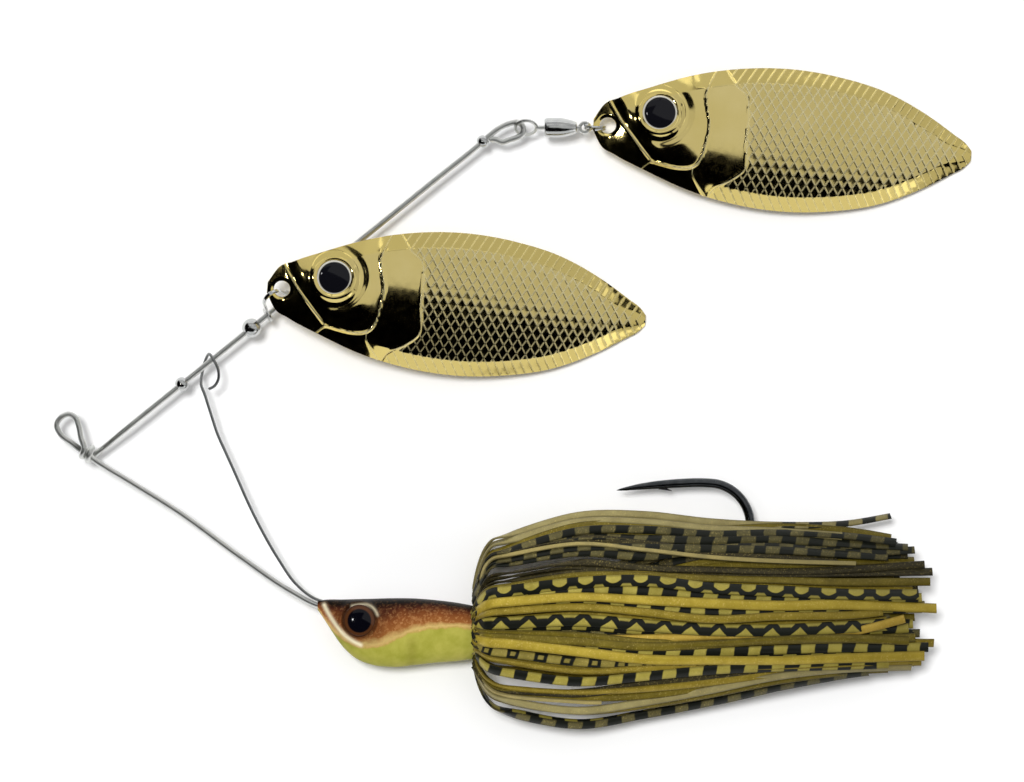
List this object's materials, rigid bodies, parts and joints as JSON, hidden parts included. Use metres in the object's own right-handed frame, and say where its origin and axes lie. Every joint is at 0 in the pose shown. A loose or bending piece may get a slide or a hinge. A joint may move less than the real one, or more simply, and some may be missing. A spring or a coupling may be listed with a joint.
{
  "type": "spinnerbait",
  "caption": "Wire-framed fishing lure with a weighted painted head, a skirted hook and leaf-shaped spinner blades that turn on a clevis and on a ball-bearing swivel.",
  "frame": {"origin": "Bottom centre of the bounding box, on the surface that the lure lies on.", "axes": "The lure lies on its side. +X is its longest extent, from the line tie towards the rear blade's tip, +Y runs from the hook's shank up to the rear blade, and +Z is its shortest extent, away from the surface."},
  "size_m": [0.1396, 0.0999, 0.0142],
  "materials": {
    "bright_steel": "polished",
    "nickel_plate": "polished",
    "black_nickel": "polished",
    "gold_plate": "polished",
    "head_paint": "gloss",
    "eye_dome": "gloss",
    "skirt_silicone": "gloss",
    "collar_rubber": "matte"
  },
  "bodies": {
    "wire_frame": {"main_wire": "bright_steel", "brace_wire": "bright_steel", "hook": "black_nickel", "head": "head_paint", "head_eye_near": "eye_dome", "head_eye_far": "eye_dome", "skirt_collar": "collar_rubber", "skirt_tab_1": "skirt_silicone", "skirt_tab_2": "skirt_silicone", "skirt_tab_3": "skirt_silicone", "skirt_tab_4": "skirt_silicone", "skirt_tab_5": "skirt_silicone", "skirt_tab_6": "skirt_silicone"},
    "front_bead": {"bead_front": "nickel_plate"},
    "clevis_bead": {"bead_middle": "nickel_plate"},
    "end_bead": {"bead_rear": "nickel_plate"},
    "clevis_strip": {"clevis": "nickel_plate"},
    "front_spinner": {"front_blade": "gold_plate", "front_blade_eye": "eye_dome"},
    "swivel_stem": {"swivel_eye": "bright_steel"},
    "swivel_barrel": {"swivel_body": "nickel_plate", "swivel_cap": "nickel_plate", "swivel_rear_eye": "bright_steel"},
    "ball_ring": {"bearing_ball_1": "bright_steel", "bearing_ball_2": "bright_steel", "bearing_ball_3": "bright_steel", "bearing_ball_4": "bright_steel", "bearing_ball_5": "bright_steel", "bearing_ball_6": "bright_steel"},
    "blade_ring": {"split_ring": "nickel_plate"},
    "rear_spinner": {"rear_blade": "gold_plate", "rear_blade_eye": "eye_dome"}
  },
  "joints": [
    {"name": "front_bead_slide", "type": "slide", "parent": "wire_frame", "child": "front_bead", "axis": [0.7786, 0.6276, 0], "range_m": [-0.004, 0.0015]},
    {"name": "clevis_slide", "type": "slide", "parent": "wire_frame", "child": "clevis_bead", "axis": [0.7786, 0.6276, 0], "range_m": [-0.005, 0.01]},
    {"name": "clevis_spin", "type": "hinge", "parent": "clevis_bead", "child": "clevis_strip", "pos_m": [-0.03957, 0.01026, 0.0046], "axis": [0.7786, 0.6276, 0], "continuous": true},
    {"name": "front_blade_swing", "type": "hinge", "parent": "clevis_strip", "child": "front_spinner", "pos_m": [-0.03506, 0.01579, 0.0072], "axis": [0.1197, -0.0103, 0.9928], "range_deg": [-25, 6]},
    {"name": "end_bead_slide", "type": "slide", "parent": "wire_frame", "child": "end_bead", "axis": [0.7786, 0.6276, 0], "range_m": [-0.02, 0]},
    {"name": "swivel_yaw", "type": "hinge", "parent": "wire_frame", "child": "swivel_stem", "pos_m": [0.00061, 0.04039, 0.0046], "axis": [0, 0, 1], "range_deg": [-25, 45]},
    {"name": "swivel_spin", "type": "hinge", "parent": "swivel_stem", "child": "swivel_barrel", "pos_m": [0.0075, 0.0407, 0.0046], "axis": [1, 0, 0], "continuous": true},
    {"name": "ball_roll", "type": "hinge", "parent": "swivel_stem", "child": "ball_ring", "pos_m": [0.0075, 0.0407, 0.0046], "axis": [1, 0, 0], "continuous": true},
    {"name": "split_ring_tilt", "type": "hinge", "parent": "swivel_barrel", "child": "blade_ring", "pos_m": [0.01105, 0.0407, 0.0046], "axis": [0, 1, 0], "range_deg": [-25, 25]},
    {"name": "rear_blade_swing", "type": "hinge", "parent": "blade_ring", "child": "rear_spinner", "pos_m": [0.01415, 0.0407, 0.0041], "axis": [0.0643, -0.0053, 0.9979], "range_deg": [-25, 25]}
  ],
  "couplings": [
    {"joint": "ball_roll", "follows": "swivel_spin", "ratio": 0.5}
  ]
}
